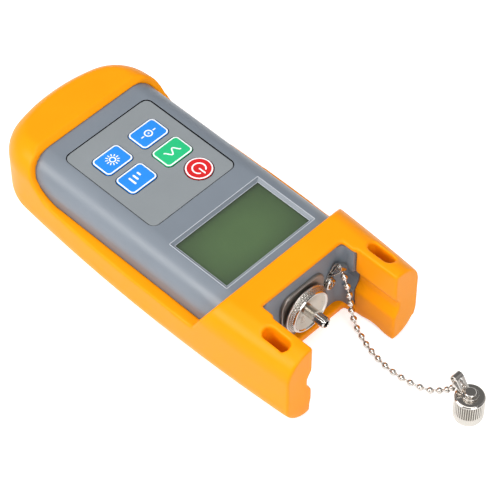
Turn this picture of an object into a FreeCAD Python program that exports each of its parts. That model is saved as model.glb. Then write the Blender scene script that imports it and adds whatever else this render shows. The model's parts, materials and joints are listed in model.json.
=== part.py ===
import FreeCAD, Part
import math
import os
from FreeCAD import Vector, Placement, Rotation

# Handheld optical power meter in a rubber boot, with its dust cap on a ball chain.
# Frame: millimetres, origin on the table under the middle of the meter, between the
# keypad and the display. X runs across the meter, +Y to the connector end, +Z out of
# the face.

os.makedirs("parts", exist_ok=True)

# ---------------------------------------------------------------- driving sizes
running_fit = 0.05        # radial clearance of a turned piece that turns or slides
slip_gap = 0.1            # clearance of a piece that drops into its seat
key_gap = 0.2             # gap round a key in the keypad sheet

# The grey case
case_half_width = 29.0
case_back_y = -68.0       # far end, inside the boot
wall_face_y = 45.8        # outside of the end wall that carries the port
ear_length = 5.9          # the two short ears reach past the end wall
case_thickness = 29.0
case_wall = 2.2
case_shoulder_r = 9.5     # long top edges
case_end_r = 5.0          # top edge of the far end
case_bottom_r = 3.0
case_corner_r = 12.0      # far corners in plan
bay_half_width = 19.0     # between the ears
ear_corner_r = 3.0

# The rubber boot
boot_floor = 3.0
boot_half_width = 33.7    # widest, at boot_wide_y
boot_wide_y = 8.0
boot_taper_radius = 770.0 # plan radius of the long sides
boot_end_wall = 8.8       # from the case's far end to the boot's
boot_end_radius = 60.0    # plan radius of the far end
boot_corner_r = 18.0      # plan radius of the far corners
boot_arm_y = 70.0         # end of the two arms
boot_overrun = 12.0       # the plan outline runs on past the arms before it is cut
boot_skin = 2.0           # height of the boot over the face
boot_edge_r = 10.0        # rounding of the long outer edges
boot_arm_half_gap = 20.0  # inner wall of an arm, from the middle
hood_cover = 13.1         # the hood reaches this far over the case's far end
hood_bevel_run = 2.4      # from the opening's far edge back to the ridge
hood_slope = 5.0          # degrees, fall of the hood from the ridge to the end
hood_lip = 0.4            # step from the face up to the rim
collar_reach = 10.8       # the collar's edge lies this far back from the end wall
collar_lean = 29.0        # degrees, slope of that edge down to the side rims
collar_overhang = 0.2     # the collar's inner edge, past the end wall
rim_drop = 12.8           # side rims below the face
rim_hood_run = 12.5       # length of the curve from the hood down to the side rim
rim_hood_along = 0.34     # where the curve passes, as shares of its run and drop
rim_hood_down = 0.64
rim_collar_r = 1.5
ledge_length = 2.6        # floor lip past the end wall
channel_depth = 2.0       # channel along the inside of each arm
channel_top = 9.7         # below the face
channel_upper = 12.9
channel_lower = 16.2
channel_bottom = 20.0
slot_x = 24.9             # lanyard slots, and how far back from the arm's end
slot_setback = 11.4
slot_length = 11.2
slot_width = 4.6
foot_hollow_setback = 9.5 # shallow hollow under each arm, back from its end
foot_hollow_length = 9.0
foot_hollow_depth = 1.0
window_corner_r = 3.0

# Keypad
pad_x = 20.0              # half width of the keypad sheet
pad_y_low = -48.0
pad_y_high = -3.2
pad_corner_r = 3.0
pad_recess = 0.6
sheet_thickness = 0.5
sheet_gap = 0.25
key_long = 12.2
key_short = 9.2
key_corner_r = 1.8
key_pitch_x = 17.0
key_row_y = (-35.2, -23.4)
power_x = -9.5
power_y = -11.4
power_r = 4.95
key_pad_thickness = 0.9
key_proud = 0.25
key_travel = 0.35
key_pocket_floor = 0.75   # under the resting key
key_stem_r = 1.7
key_stem_length = 3.0
key_edge_chamfer = 0.18
stem_hole_r = 2.2

# Display
glass_half_x = 19.7
glass_low_y = 6.5
glass_high_y = 30.9
bezel_width = 1.2
bezel_depth = 1.0
pane_margin = 1.2
pane_thickness = 1.2
panel_thickness = 2.0
backlight_thickness = 4.2

# Main board, switches and their fasteners
board_thickness = 1.6
board_side_gap = 1.5      # from the case's inside
board_far_gap = 8.8
board_near_gap = 7.6
board_corner_r = 1.5
switch_side = 6.0
switch_height = 3.4
plunger_r = 1.75
board_post_inset = 1.3    # from the board's long edge
board_post_middle_y = -1.0
board_post_end_inset = 2.5
board_post_r = 2.3
boss_r = 2.9
boss_far_side = 11.0      # cover bosses: from the case's side and far end
boss_far_end = 4.9
boss_near_side = 6.2      # and from its side and end wall
boss_near_end = 6.6
screw_r = 1.1
screw_head_r = 2.2
screw_head_h = 1.3
board_screw_head_h = 0.7
board_screw_head_r = 2.0
cover_screw_length = 8.0
board_screw_length = 5.5
cross_slot = 0.3          # half width of a screw's cross
cross_reach = 0.55        # share of the head's radius

# Rear cover and battery bay
cover_thickness = 2.2
bay_side_gap = 0.7        # beside the outer cells
bay_far_inset = 9.5       # from the case's far end
bay_end_room = 3.8        # for the contacts, beyond a cell's length
bay_wall = 1.5
bay_roof = 1.2
door_inset = 1.4          # ledge of the cover round the door
door_gap = 0.15
door_thickness = 1.8
window_margin = 1.2       # boot window round the bay
notch_r = 9.0             # finger notch in the door's near edge
notch_half_width = 8.0
notch_depth = 0.8
rib_half_width = 12.0     # three grip grooves
rib_step = 2.5
rib_depth = 0.35
cell_r = 7.2
cell_length = 49.2
cell_nub_r = 2.6
cell_nub_h = 1.2
cell_edge_r = 0.6
cell_seat_gap = 0.2       # under a cell
contact_thickness = 0.3
contact_half = 4.0
spring_r = 3.2            # widest turn
spring_taper = 0.5        # less for each turn
spring_wire_r = 0.35
spring_turns = 2

# Port, adapter and detector
port_z_below_face = 15.15
flange_half = 10.2
flange_corner_r = 4.5
flange_thickness = 1.2
flange_chamfer = 0.25
bush_r = 7.0
bush_length = 7.0         # behind the end wall's face
spigot_r = 4.0
spigot_length = 2.4       # behind the end wall's face
aperture_r = 2.5
aperture_length = 0.8
can_r = 4.1
can_window_r = 1.4
can_window_depth = 0.5
detector_board_thickness = 1.2
nut_flats = 15.6
nut_thickness = 2.4
ring_r = 9.45
ring_back_gap = 0.7
ring_rim = 0.9
ring_front_r = 8.0
ring_width = 3.05
dish_depth = 2.2
knurl_count = 44
knurl_r = 0.3
tube_r = 2.05
tube_reach = 7.0          # past the front of the ring
ferrule_r = 1.25
collar_r = 3.0
collar_length = 1.4

# Chain, straps and dust cap
bead_r = 1.2
bead_pitch = 3.6
pin_r = 0.42
pin_room = 0.5            # round a pin where it leaves a strap
joint_gap = 0.1           # between a bead and what swivels on it
strap_leaf = 0.45
strap_width = 3.4
strap_slot = 1.3
strap_eye_margin = 1.3
anchor_x = -12.6
anchor_below_face = 14.1
anchor_head_r = 2.3
anchor_head_h = 1.4
anchor_shank_r = 1.2
anchor_depth = 6.0
anchor_boss_r = 2.6
anchor_end_gap = 0.5      # hole's floor to the screw's tip
anchor_edge_r = 0.6
anchor_cross_reach = 0.6  # share of the head's radius
anchor_cross_floor = 0.45 # share of the head's height
cap_x = -14.4
cap_y = 108.5
cap_r = 5.2
cap_height = 11.6
cap_base_r = 2.4
cap_bore_clearance = 0.12
cap_web = 1.8
cap_flutes = 36
flute_r = 0.35
stud_neck_r = 1.5
stud_head_r = 2.0
stud_head_h = 1.1
stud_shank_r = 0.9

# Route of the chain from the anchor strap to the cap's strap: it hangs from the strap,
# lies on the table and climbs to the strap on the cap.
chain_route = [
    (-16.2, 48.3, 24.2), (-15.5, 52.3, 18.8), (-15.2, 54.6, 11.0), (-15.0, 56.6, 4.2),
    (-14.2, 59.6, 1.2), (-11.8, 66.0, 1.2), (-9.9, 76.5, 1.2), (-11.0, 88.2, 1.2),
    (-12.6, 93.0, 1.4), (-14.2, 97.2, 3.8), (-14.5, 101.2, 9.0), (-14.5, 102.4, 15.5)]
drop_beads = 9            # beads that hang with the meter, down to the table
run_beads = 7             # beads of the next stretch

# ---------------------------------------------------------------- derived levels
case_bottom = boot_floor
face_z = case_bottom + case_thickness
ceiling_z = face_z - case_wall
boot_top = face_z + boot_skin
inner_half_width = case_half_width - case_wall
inner_back_y = case_back_y + case_wall
inner_front_y = wall_face_y - case_wall
ear_front_y = wall_face_y + ear_length
boot_back_y = case_back_y - boot_end_wall
hood_rim_y = case_back_y + hood_cover
hood_crest_y = hood_rim_y - hood_bevel_run
collar_y = wall_face_y - collar_reach
collar_inner_y = wall_face_y + collar_overhang
ledge_front_y = wall_face_y + ledge_length
board_half_x = inner_half_width - board_side_gap
board_low_y = inner_back_y + board_far_gap
board_high_y = inner_front_y - board_near_gap
board_post_x = board_half_x - board_post_inset
board_post_y = (board_post_middle_y, board_high_y - board_post_end_inset)
boss_x = (case_half_width - boss_far_side, case_half_width - boss_near_side)
boss_y = (case_back_y + boss_far_end, wall_face_y - boss_near_end)
bay_x = 3 * cell_r + slip_gap + bay_side_gap
bay_low_y = case_back_y + bay_far_inset
bay_high_y = bay_low_y + cell_length + bay_end_room
bush_rear_y = wall_face_y - bush_length
spigot_rear_y = wall_face_y - spigot_length
cover_top = case_bottom + cover_thickness
bay_floor = case_bottom + door_thickness
cell_z = bay_floor + cell_seat_gap + cell_r
bay_top = cell_z + cell_r + cell_seat_gap
roof_top = bay_top + bay_roof
key_low = face_z - pad_recess + sheet_thickness + key_proud - key_pad_thickness
pane_top = face_z - bezel_depth
pane_bottom = pane_top - pane_thickness
panel_bottom = pane_bottom - panel_thickness
board_top = panel_bottom - backlight_thickness
board_bottom = board_top - board_thickness
port_z = face_z - port_z_below_face
flange_front_y = wall_face_y + flange_thickness
ring_back_y = flange_front_y + ring_back_gap
ring_front_y = ring_back_y + ring_width
tube_end_y = ring_front_y + tube_reach
slot_y = boot_arm_y - slot_setback
foot_hollow_y = boot_arm_y - foot_hollow_setback
anchor_z = face_z - anchor_below_face
nothing = 0.01
far = 60.0


# ---------------------------------------------------------------- small helpers
def box(x0, x1, y0, y1, z0, z1):
    return Part.makeBox(x1 - x0, y1 - y0, z1 - z0, Vector(x0, y0, z0))


def cyl_z(r, z0, z1, x=0.0, y=0.0):
    return Part.makeCylinder(r, z1 - z0, Vector(x, y, z0), Vector(0, 0, 1))


def cyl_y(r, y0, y1, x=0.0, z=0.0):
    return Part.makeCylinder(r, y1 - y0, Vector(x, y0, z), Vector(0, 1, 0))


def face_of(edges):
    return Part.Face(Part.Wire(Part.__sortEdges__(edges)))


def polygon_face(points):
    return Part.Face(Part.makePolygon([Vector(*p) for p in points + points[:1]]))


def rounded_plate(x0, x1, y0, y1, z0, z1, r):
    # A plate with four rounded corners in plan.
    plate = box(x0, x1, y0, y1, z0, z1)
    upright = [e for e in plate.Edges if abs(e.Vertexes[0].Z - e.Vertexes[1].Z) > nothing]
    return plate.makeFillet(r, upright)


def revolve_z(points, x=0.0, y=0.0):
    # Turns a closed (radius, height) outline about a vertical axis.
    outline = polygon_face([(r, 0, z) for r, z in points])
    turned = outline.revolve(Vector(0, 0, 0), Vector(0, 0, 1), 360)
    turned.translate(Vector(x, y, 0))
    return turned


def revolve_y(points, z):
    # Turns a closed (radius, y) outline about the port's axis.
    outline = polygon_face([(r, y, 0) for r, y in points])
    turned = outline.revolve(Vector(0, 0, 0), Vector(0, 1, 0), 360)
    turned.translate(Vector(0, 0, z))
    return turned


def both_sides(shape):
    return [shape, shape.mirror(Vector(0, 0, 0), Vector(1, 0, 0))]


def fuse_all(shapes):
    return shapes[0].multiFuse(shapes[1:]).removeSplitter() if len(shapes) > 1 else shapes[0]


def cut_all(shape, tools):
    return shape.cut(Part.makeCompound(tools))


def save(name, shape):
    solids = shape.Solids
    kept = solids[0] if len(solids) == 1 else Part.makeCompound(solids)
    if not kept.isValid():
        print("NOT VALID", name)
    kept.exportStep("parts/" + name + ".step")
    print(name, len(solids), "solids", round(kept.Volume, 2), "mm3")


# ---------------------------------------------------------------- outer forms
def case_form(half_width, y0, y1, z0, z1, shoulder, end_r, bottom_r, corner_r):
    # The case's form: a cross-section with round shoulders, cut to a plan with round
    # far corners and to a side view with a round far end.
    section = box(-half_width, half_width, y0, y1, z0, z1)
    tops = [e for e in section.Edges if abs(e.CenterOfMass.z - z1) < nothing
            and abs(abs(e.CenterOfMass.x) - half_width) < nothing]
    section = section.makeFillet(shoulder, tops)
    lows = [e for e in section.Edges if abs(e.CenterOfMass.z - z0) < nothing
            and abs(abs(e.CenterOfMass.x) - half_width) < nothing]
    if bottom_r > 0:
        section = section.makeFillet(bottom_r, lows)
    plan = box(-half_width, half_width, y0, y1 + far, z0, z1)
    corners = [e for e in plan.Edges if abs(e.CenterOfMass.y - y0) < nothing
               and abs(abs(e.CenterOfMass.x) - half_width) < nothing]
    plan = plan.makeFillet(corner_r, corners)
    side = box(-half_width, half_width, y0, y1 + far, z0 - far, z1)
    end = [e for e in side.Edges if abs(e.CenterOfMass.y - y0) < nothing
           and abs(e.CenterOfMass.z - z1) < nothing]
    side = side.makeFillet(end_r, end)
    return section.common(plan).common(side)


def boot_plan_face(z):
    # Plan outline: two long bowed sides and a bowed far end.
    def side_x(y):
        return boot_half_width - (y - boot_wide_y) ** 2 / (2 * boot_taper_radius)
    front = boot_arm_y + boot_overrun
    corner_y = boot_back_y + side_x(boot_back_y) ** 2 / (2 * boot_end_radius)
    edges = []
    for s in (1, -1):
        a = Vector(s * side_x(front), front, z)
        m = Vector(s * boot_half_width, boot_wide_y, z)
        b = Vector(s * side_x(corner_y), corner_y, z)
        edges.append(Part.Arc(a, m, b).toShape())
    ends = [e.Vertexes for e in edges]
    back = [min(v, key=lambda p: p.Y).Point for v in ends]
    edges.append(Part.Arc(back[0], Vector(0, boot_back_y, z), back[1]).toShape())
    tips = [max(v, key=lambda p: p.Y).Point for v in ends]
    edges.append(Part.LineSegment(tips[0], tips[1]).toShape())
    return face_of(edges)


def boot_outer():
    body = boot_plan_face(0).extrude(Vector(0, 0, boot_top))
    corners = [e for e in body.Edges if abs(e.Vertexes[0].Z - e.Vertexes[-1].Z) > nothing
               and e.CenterOfMass.y < case_back_y + case_corner_r]
    body = body.makeFillet(boot_corner_r, corners)
    front = body.BoundBox.YMax
    loops = [e for e in body.Edges if abs(e.Vertexes[0].Z - e.Vertexes[-1].Z) < nothing
             and abs(e.CenterOfMass.y - front) > nothing]
    body = body.makeFillet(boot_edge_r, loops)
    body = body.common(box(-far, far, -2 * far, boot_arm_y, 0, boot_top))
    # The hood falls away from its ridge towards the far end.
    fall = math.tan(math.radians(hood_slope))
    deep = hood_crest_y + 2 * far
    wedge = polygon_face([
        (-far, hood_crest_y, boot_top), (-far, hood_crest_y - deep, boot_top - fall * deep),
        (-far, hood_crest_y - deep, boot_top + far), (-far, hood_crest_y, boot_top + far)])
    return body.cut(wedge.extrude(Vector(2 * far, 0, 0)))


# ---------------------------------------------------------------- protective boot
def face_opening():
    # Side view of the opening in the boot: hood bevel, curve down to the side rims,
    # and round corner up to the collar. It is cut right across.
    x = -far
    rim_z = face_z - rim_drop
    top = boot_top + far
    hood = Vector(x, hood_rim_y, face_z + hood_lip)
    crest = Vector(x, hood_crest_y, boot_top + nothing)
    mid = Vector(x, hood_rim_y + rim_hood_along * rim_hood_run,
                 face_z - rim_hood_down * rim_drop)
    low = Vector(x, hood_rim_y + rim_hood_run, rim_z)
    lean = math.radians(collar_lean)
    corner = Vector(x, collar_y - rim_drop * math.tan(lean), rim_z)
    up = Vector(0, math.sin(lean), math.cos(lean))
    reach = rim_collar_r / math.tan((math.pi / 2 + lean) / 2)
    turn = corner - Vector(0, reach, 0)
    middle = turn + Vector(0, 0, rim_collar_r)
    half = middle + (corner - middle).normalize() * rim_collar_r
    rise = corner + up * reach
    brow = corner + up * ((boot_top + 1 - rim_z) / up.z)
    edges = [
        Part.LineSegment(Vector(x, hood_crest_y, top), crest).toShape(),
        Part.LineSegment(crest, hood).toShape(),
        Part.Arc(hood, mid, low).toShape(),
        Part.LineSegment(low, turn).toShape(),
        Part.Arc(turn, half, rise).toShape(),
        Part.LineSegment(rise, brow).toShape(),
        Part.LineSegment(brow, Vector(x, brow.y, top)).toShape(),
        Part.LineSegment(Vector(x, brow.y, top), Vector(x, hood_crest_y, top)).toShape()]
    return face_of(edges).extrude(Vector(2 * far, 0, 0))


def arm_bay():
    # The U-shaped bay between the arms, with the floor lip left under the end wall.
    upper = box(-bay_half_width, bay_half_width, collar_inner_y, boot_arm_y + far,
                case_bottom, boot_top + far)
    lower = box(-bay_half_width, bay_half_width, ledge_front_y, boot_arm_y + far,
                -far, case_bottom + nothing)
    arms = box(-boot_arm_half_gap, boot_arm_half_gap, ear_front_y, boot_arm_y + far,
               -far, boot_top + far)
    return [upper, lower, arms]


def arm_channels(y0):
    # A channel along the inside of each arm, sharp above and sloping below.
    deep = boot_arm_half_gap + channel_depth
    outline = [(0, y0, face_z - channel_top), (boot_arm_half_gap, y0, face_z - channel_top),
               (deep, y0, face_z - channel_upper), (deep, y0, face_z - channel_lower),
               (boot_arm_half_gap, y0, face_z - channel_bottom),
               (0, y0, face_z - channel_bottom)]
    return both_sides(polygon_face(outline).extrude(Vector(0, far, 0)))


def lanyard_slots():
    r = slot_width / 2
    slot = rounded_plate(slot_x - r, slot_x + r, slot_y - slot_length / 2,
                         slot_y + slot_length / 2, -far, boot_top + far, r - nothing)
    return both_sides(slot)


def protective_boot():
    boot = boot_outer()
    fit = case_form(case_half_width, case_back_y, ear_front_y, case_bottom, face_z,
                    case_shoulder_r, case_end_r, case_bottom_r, case_corner_r)
    boot = boot.cut(fit)
    boot = boot.cut(face_opening())
    boot = cut_all(boot, arm_bay())
    boot = cut_all(boot, arm_channels(ear_front_y))
    boot = cut_all(boot, lanyard_slots())
    half = bay_x + window_margin
    window = rounded_plate(-half, half, bay_low_y - window_margin,
                           bay_high_y + window_margin, -far, case_bottom + nothing,
                           window_corner_r)
    boot = boot.cut(window)
    radius = (foot_hollow_length ** 2 / 4 + foot_hollow_depth ** 2) / (2 * foot_hollow_depth)
    hollow = Part.makeCylinder(radius, 4 * far, Vector(-2 * far, foot_hollow_y,
                               foot_hollow_depth - radius), Vector(1, 0, 0))
    boot = boot.cut(hollow)
    return boot


# ---------------------------------------------------------------- front case
def key_places():
    # name, x, y, kind of the five keys
    left, right = -key_pitch_x / 2, key_pitch_x / 2
    return [("key_reference", left, key_row_y[0], "square"),
            ("key_backlight", right, key_row_y[0], "square"),
            ("key_wavelength", left, key_row_y[1], "square"),
            ("key_decibel", right, key_row_y[1], "square"),
            ("key_power", power_x, power_y, "round")]


def key_outline(x, y, kind, z0, z1, grow):
    if kind == "round":
        return cyl_z(power_r + grow, z0, z1, x, y)
    half_x = key_long / 2 + grow
    half_y = key_short / 2 + grow
    return rounded_plate(x - half_x, x + half_x, y - half_y, y + half_y, z0, z1,
                         key_corner_r + grow)


def bezel_cut():
    # The bevelled display opening.
    outer = [(s * (glass_half_x + bezel_width), y, face_z + nothing)
             for s, y in ((-1, glass_low_y - bezel_width), (1, glass_low_y - bezel_width),
                          (1, glass_high_y + bezel_width), (-1, glass_high_y + bezel_width))]
    inner = [(s * glass_half_x, y, pane_top - nothing)
             for s, y in ((-1, glass_low_y), (1, glass_low_y), (1, glass_high_y),
                          (-1, glass_high_y))]
    wires = [Part.makePolygon([Vector(*p) for p in ring + ring[:1]]) for ring in (outer, inner)]
    return Part.makeLoft(wires, True, True)


def front_case():
    case = case_form(case_half_width, case_back_y, ear_front_y, case_bottom, face_z,
                     case_shoulder_r, case_end_r, case_bottom_r, case_corner_r)
    # Bay between the ears, with round inner corners and the channels of the arms.
    bay = rounded_plate(-bay_half_width, bay_half_width, wall_face_y, ear_front_y + far,
                        case_bottom - far, face_z + far, ear_corner_r)
    case = case.cut(bay)
    channels = arm_channels(wall_face_y + ear_corner_r / 2)
    case = cut_all(case, channels)
    hollow = case_form(inner_half_width, inner_back_y, inner_front_y, case_bottom - far,
                       ceiling_z, case_shoulder_r - case_wall, case_end_r - case_wall, 0,
                       case_corner_r - case_wall)
    case = case.cut(hollow)
    # Bosses for the rear cover, posts for the board and a boss for the chain's screw.
    posts = []
    for x, y in zip(boss_x, boss_y):
        posts += both_sides(cyl_z(boss_r, cover_top, ceiling_z, x, y))
    for y in board_post_y:
        posts += both_sides(cyl_z(board_post_r, board_top, ceiling_z, board_post_x, y))
    posts.append(cyl_y(anchor_boss_r, wall_face_y - anchor_depth, inner_front_y,
                       anchor_x, anchor_z))
    envelope = case_form(case_half_width - nothing, case_back_y + nothing, inner_front_y,
                         case_bottom, face_z - nothing, case_shoulder_r, case_end_r,
                         case_bottom_r, case_corner_r)
    case = fuse_all([case] + [p.common(envelope) for p in posts])
    # Keypad recess, key pockets and stem holes.
    tools = [rounded_plate(-pad_x, pad_x, pad_y_low, pad_y_high, face_z - pad_recess,
                           face_z + far, pad_corner_r)]
    for name, x, y, kind in key_places():
        tools.append(key_outline(x, y, kind, key_low - key_pocket_floor + key_travel,
                                 face_z, key_gap))
        tools.append(cyl_z(stem_hole_r, ceiling_z - far, face_z, x, y))
    # Display opening and the pane's seat.
    tools.append(bezel_cut())
    seat = glass_half_x + pane_margin + slip_gap
    tools.append(box(-seat, seat, glass_low_y - pane_margin - slip_gap,
                     glass_high_y + pane_margin + slip_gap, panel_bottom, pane_top))
    # Port, chain screw, cover screws and board screws.
    tools.append(cyl_y(bush_r + slip_gap, inner_front_y - far / 2, wall_face_y + far, 0, port_z))
    tools.append(cyl_y(anchor_shank_r, wall_face_y - anchor_depth, wall_face_y + far,
                       anchor_x, anchor_z))
    for x, y in zip(boss_x, boss_y):
        tools += both_sides(cyl_z(screw_r, case_bottom, cover_top + cover_screw_length, x, y))
    for y in board_post_y:
        tools += both_sides(cyl_z(screw_r, board_top - nothing, board_top + board_screw_length,
                                  board_post_x, y))
    return cut_all(case, tools)


# ---------------------------------------------------------------- rear cover and batteries
def rear_cover():
    gap = slip_gap
    plate = case_form(inner_half_width - gap, inner_back_y + gap, inner_front_y - gap,
                      case_bottom, cover_top, nothing * 10, nothing * 10, 0,
                      case_corner_r - case_wall)
    well = box(-bay_x - bay_wall, bay_x + bay_wall, bay_low_y - bay_wall,
               bay_high_y + bay_wall, cover_top - nothing, roof_top)
    room = case_form(inner_half_width - gap, inner_back_y + gap, inner_front_y - gap,
                     case_bottom, ceiling_z, case_shoulder_r - case_wall,
                     case_end_r - case_wall, 0, case_corner_r - case_wall)
    cover = plate.fuse(well.common(room))
    tools = [box(-bay_x, bay_x, bay_low_y, bay_high_y, bay_floor, bay_top)]
    inset = door_inset
    tools.append(box(-bay_x + inset, bay_x - inset, bay_low_y + inset, bay_high_y - inset,
                     case_bottom - nothing, bay_floor + nothing))
    tools.append(box(-bay_x, bay_x, bay_low_y, bay_high_y, case_bottom - nothing, bay_floor))
    for x, y in zip(boss_x, boss_y):
        tools += both_sides(cyl_z(screw_r + slip_gap, case_bottom - nothing, roof_top, x, y))
        tools += both_sides(cyl_z(screw_head_r + slip_gap, case_bottom - nothing,
                                  case_bottom + screw_head_h, x, y))
    return cut_all(cover, tools)


def battery_door():
    # A flat door with a finger notch and three grip grooves at its near edge.
    g = door_gap
    door = rounded_plate(-bay_x + g, bay_x - g, bay_low_y + g, bay_high_y - g,
                         case_bottom, bay_floor - g, 1.0)
    notch = Part.makeCylinder(notch_r, 2 * notch_half_width,
                              Vector(-notch_half_width, bay_high_y - notch_r / 2,
                                     case_bottom + notch_depth - notch_r), Vector(1, 0, 0))
    ribs = []
    for i in range(1, 4):
        y = bay_high_y - notch_r - i * rib_step
        ribs.append(box(-rib_half_width, rib_half_width, y - rib_depth, y + rib_depth,
                        case_bottom - nothing, case_bottom + rib_depth))
    return cut_all(door, [notch] + ribs)


def cell_rows():
    # x, and +1 or -1 for the way that each cell's terminal points
    pitch = 2 * cell_r + slip_gap
    return [(-pitch, 1), (0.0, -1), (pitch, 1)]


def battery_cell(x, way):
    middle = (bay_low_y + bay_high_y) / 2
    z = cell_z
    body = cyl_y(cell_r, middle - cell_length / 2, middle + cell_length / 2, x, z)
    body = body.makeFillet(cell_edge_r, body.Edges)
    start = middle + way * cell_length / 2
    nub = cyl_y(cell_nub_r, min(start, start + way * cell_nub_h) - nothing,
                max(start, start + way * cell_nub_h), x, z)
    return body.fuse(nub)


def battery_contacts():
    # A flat plate under each terminal and a cone of spring wire at each base.
    middle = (bay_low_y + bay_high_y) / 2
    z0, z1 = cell_z - contact_half, cell_z + contact_half
    solids = []
    for x, way in cell_rows():
        wall = bay_high_y if way > 0 else bay_low_y
        y0, y1 = sorted((wall, wall - way * contact_thickness))
        solids.append(box(x - contact_half, x + contact_half, y0, y1, z0, z1))
        wall = bay_low_y if way > 0 else bay_high_y
        y0, y1 = sorted((wall, wall + way * contact_thickness))
        plate = box(x - contact_half, x + contact_half, y0, y1, z0, z1)
        base = middle - way * cell_length / 2
        room = abs(base - wall) - contact_thickness
        turns = []
        for i in range(spring_turns):
            y = wall + way * (contact_thickness + room * (i + 0.5) / spring_turns)
            ring = Part.makeTorus(spring_r - spring_taper * i, spring_wire_r,
                                  Vector(x, y, cell_z), Vector(0, 1, 0))
            turns.append(ring)
        solids.append(plate)
        solids += turns
    return solids


# ---------------------------------------------------------------- screws
def screw(x, y, z, length, head_r, head_h, shank_r):
    # A pan-head screw with a cross recess; its head's seat is at z and it points up.
    head = cyl_z(head_r, z - head_h, z, x, y)
    shank = cyl_z(shank_r, z - nothing, z + length, x, y)
    arm = head_r * cross_reach
    low, deep = z - head_h - nothing, z - head_h / 2
    cross = [box(x - arm, x + arm, y - cross_slot, y + cross_slot, low, deep),
             box(x - cross_slot, x + cross_slot, y - arm, y + arm, low, deep)]
    return cut_all(head.fuse(shank), cross)


def cover_screws():
    made = []
    for x, y in zip(boss_x, boss_y):
        for s in (1, -1):
            made.append(screw(s * x, y, case_bottom + screw_head_h, cover_screw_length,
                              screw_head_r, screw_head_h - slip_gap, screw_r))
    return made


def board_screws():
    made = []
    for y in board_post_y:
        for s in (1, -1):
            made.append(screw(s * board_post_x, y, board_bottom, board_screw_length,
                              board_screw_head_r, board_screw_head_h, screw_r))
    return made


# ---------------------------------------------------------------- board and display
def main_board():
    board = rounded_plate(-board_half_x, board_half_x, board_low_y, board_high_y,
                          board_bottom, board_top, board_corner_r)
    holes = []
    for y in board_post_y:
        holes += both_sides(cyl_z(screw_r + slip_gap, board_bottom - 1, board_top + 1,
                                  board_post_x, y))
    return cut_all(board, holes)


def key_switches():
    made = []
    for name, x, y, kind in key_places():
        half = switch_side / 2
        body = box(x - half, x + half, y - half, y + half, board_top, board_top + switch_height)
        tip = key_low - key_stem_length - key_travel - slip_gap / 2
        made.append(body.fuse(cyl_z(plunger_r, board_top + switch_height - nothing, tip, x, y)))
    return made


def key_pad(x, y, kind):
    # A key of the membrane keypad: a low dome-topped pad with the stem under it.
    low = key_low
    pad = key_outline(x, y, kind, low, low + key_pad_thickness, 0)
    rim = [e for e in pad.Edges if abs(e.BoundBox.ZMin - low - key_pad_thickness) < nothing]
    pad = pad.makeChamfer(key_edge_chamfer, rim)
    return pad.fuse(cyl_z(key_stem_r, low - key_stem_length, low + nothing, x, y))


def keypad_sheet():
    g = sheet_gap
    low = face_z - pad_recess
    sheet = rounded_plate(-pad_x + g, pad_x - g, pad_y_low + g, pad_y_high - g, low,
                          low + sheet_thickness, pad_corner_r - g)
    holes = [key_outline(x, y, kind, low - 1, low + 1 + sheet_thickness, key_gap)
             for name, x, y, kind in key_places()]
    return cut_all(sheet, holes)


def display_plate(margin, z0, z1):
    half = glass_half_x + margin
    return box(-half, half, glass_low_y - margin, glass_high_y + margin, z0, z1)


# ---------------------------------------------------------------- port and adapter
def port_flange():
    plate = box(-flange_half, flange_half, wall_face_y, flange_front_y,
                port_z - flange_half, port_z + flange_half)
    corners = [e for e in plate.Edges if abs(e.Vertexes[0].Y - e.Vertexes[1].Y) > nothing]
    plate = plate.makeFillet(flange_corner_r, corners)
    front = [e for e in plate.Edges if abs(e.BoundBox.YMin - flange_front_y) < nothing]
    plate = plate.makeChamfer(flange_chamfer, front)
    port = plate.fuse(cyl_y(bush_r, bush_rear_y, wall_face_y + nothing, 0, port_z))
    socket_back = spigot_rear_y - slip_gap
    tools = [cyl_y(spigot_r + running_fit, socket_back, flange_front_y + 1, 0, port_z),
             cyl_y(aperture_r, socket_back - aperture_length - nothing, socket_back + nothing,
                   0, port_z),
             cyl_y(can_r + running_fit, bush_rear_y - 1, socket_back - aperture_length,
                   0, port_z)]
    return cut_all(port, tools)


def port_nut():
    corner = nut_flats / math.sqrt(3)
    points = [(corner * math.cos(math.radians(60 * i)), 0, corner * math.sin(math.radians(60 * i)))
              for i in range(6)]
    nut = polygon_face(points).extrude(Vector(0, nut_thickness, 0))
    nut.translate(Vector(0, inner_front_y - nut_thickness, port_z))
    return nut.cut(cyl_y(bush_r, inner_front_y - far, inner_front_y + far, 0, port_z))


def adapter_ring():
    # Knurled ring with a dished face; its spigot screws into the port.
    hub_r = tube_r + running_fit
    cup_r = collar_r + running_fit
    cup_front = spigot_rear_y + slip_gap + collar_length + running_fit
    knurl_start = ring_back_y + ring_rim
    knurl_end = ring_front_y - 0.35
    outline = [(hub_r, cup_front), (cup_r, cup_front), (cup_r, spigot_rear_y),
               (spigot_r, spigot_rear_y), (spigot_r, ring_back_y),
               (ring_r - 0.5, ring_back_y), (ring_r, ring_back_y + 0.4),
               (ring_r, knurl_start - 0.15), (ring_r - 0.2, knurl_start),
               (ring_front_r + 0.3, knurl_end), (ring_front_r, ring_front_y),
               (ring_front_r - 0.5, ring_front_y),
               (hub_r + 0.7, ring_front_y - dish_depth),
               (hub_r, ring_front_y - dish_depth)]
    ring = revolve_y(outline, port_z)
    start = Vector(ring_r - 0.1, knurl_start, 0)
    end = Vector(ring_front_r + 0.4, knurl_end, 0)
    along = end - start
    groove = Part.makeCylinder(knurl_r, along.Length, start, along)
    grooves = []
    for i in range(knurl_count):
        g = groove.copy()
        g.rotate(Vector(0, 0, 0), Vector(0, 1, 0), 360.0 * i / knurl_count)
        g.translate(Vector(0, 0, port_z))
        grooves.append(g)
    return cut_all(ring, grooves)


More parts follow.
